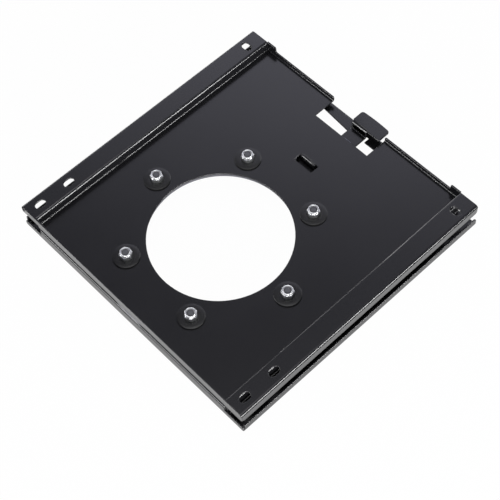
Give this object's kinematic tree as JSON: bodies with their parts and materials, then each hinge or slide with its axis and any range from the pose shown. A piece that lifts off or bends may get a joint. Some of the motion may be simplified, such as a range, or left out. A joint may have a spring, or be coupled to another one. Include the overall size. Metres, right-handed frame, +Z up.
{
  "type": "swivel seat base",
  "caption": "Swivel base between a van seat and its seat box: folded steel plates that turn on each other, with a large cable hole and a lift-to-release lever.",
  "frame": {"origin": "on the swivel axis, at the top face of the upper plate's tray, in the middle of the cable hole", "axes": "+Z up along the swivel axis, +Y from the front wall to the lever, +X to the right of that"},
  "size_m": [0.3498, 0.3555, 0.036],
  "materials": {
    "black_powder_coat": "satin black powder coat",
    "black_washer": "satin black coated washer",
    "slide_plastic": "grey low-friction plastic",
    "zinc_plate": "bright zinc plate",
    "natural_nylon": "natural nylon",
    "spring_steel": "spring steel"
  },
  "bodies": {
    "base": {"lower_plate": "black_powder_coat"},
    "turntable": {"upper_plate": "black_powder_coat", "slide_disc": "slide_plastic", "lower_slide_ring": "slide_plastic", "clamp_ring": "black_powder_coat", "spacer_sleeve_1": "zinc_plate", "spacer_sleeve_2": "zinc_plate", "spacer_sleeve_3": "zinc_plate", "spacer_sleeve_4": "zinc_plate", "spacer_sleeve_5": "zinc_plate", "spacer_sleeve_6": "zinc_plate", "guide_bush_1": "natural_nylon", "guide_bush_2": "natural_nylon", "guide_bush_3": "natural_nylon", "guide_bush_4": "natural_nylon", "guide_bush_5": "natural_nylon", "guide_bush_6": "natural_nylon", "swivel_bolts": "zinc_plate", "top_washers": "black_washer", "lock_nuts": "zinc_plate", "nut_inserts": "natural_nylon"},
    "lever": {"release_lever": "black_powder_coat", "lever_spring": "spring_steel", "spring_rivet": "zinc_plate"}
  },
  "joints": [
    {"name": "swivel", "type": "hinge", "parent": "base", "child": "turntable", "pos_m": [0, 0, 0], "axis": [0, 0, 1], "continuous": true},
    {"name": "lever_release", "type": "hinge", "parent": "turntable", "child": "lever", "pos_m": [0.0081, 0.136, -0.001], "axis": [1, 0, 0], "range_deg": [-3.1, 0], "stiffness_Nm_per_rad": 0.5, "springref_deg": -17.19}
  ]
}
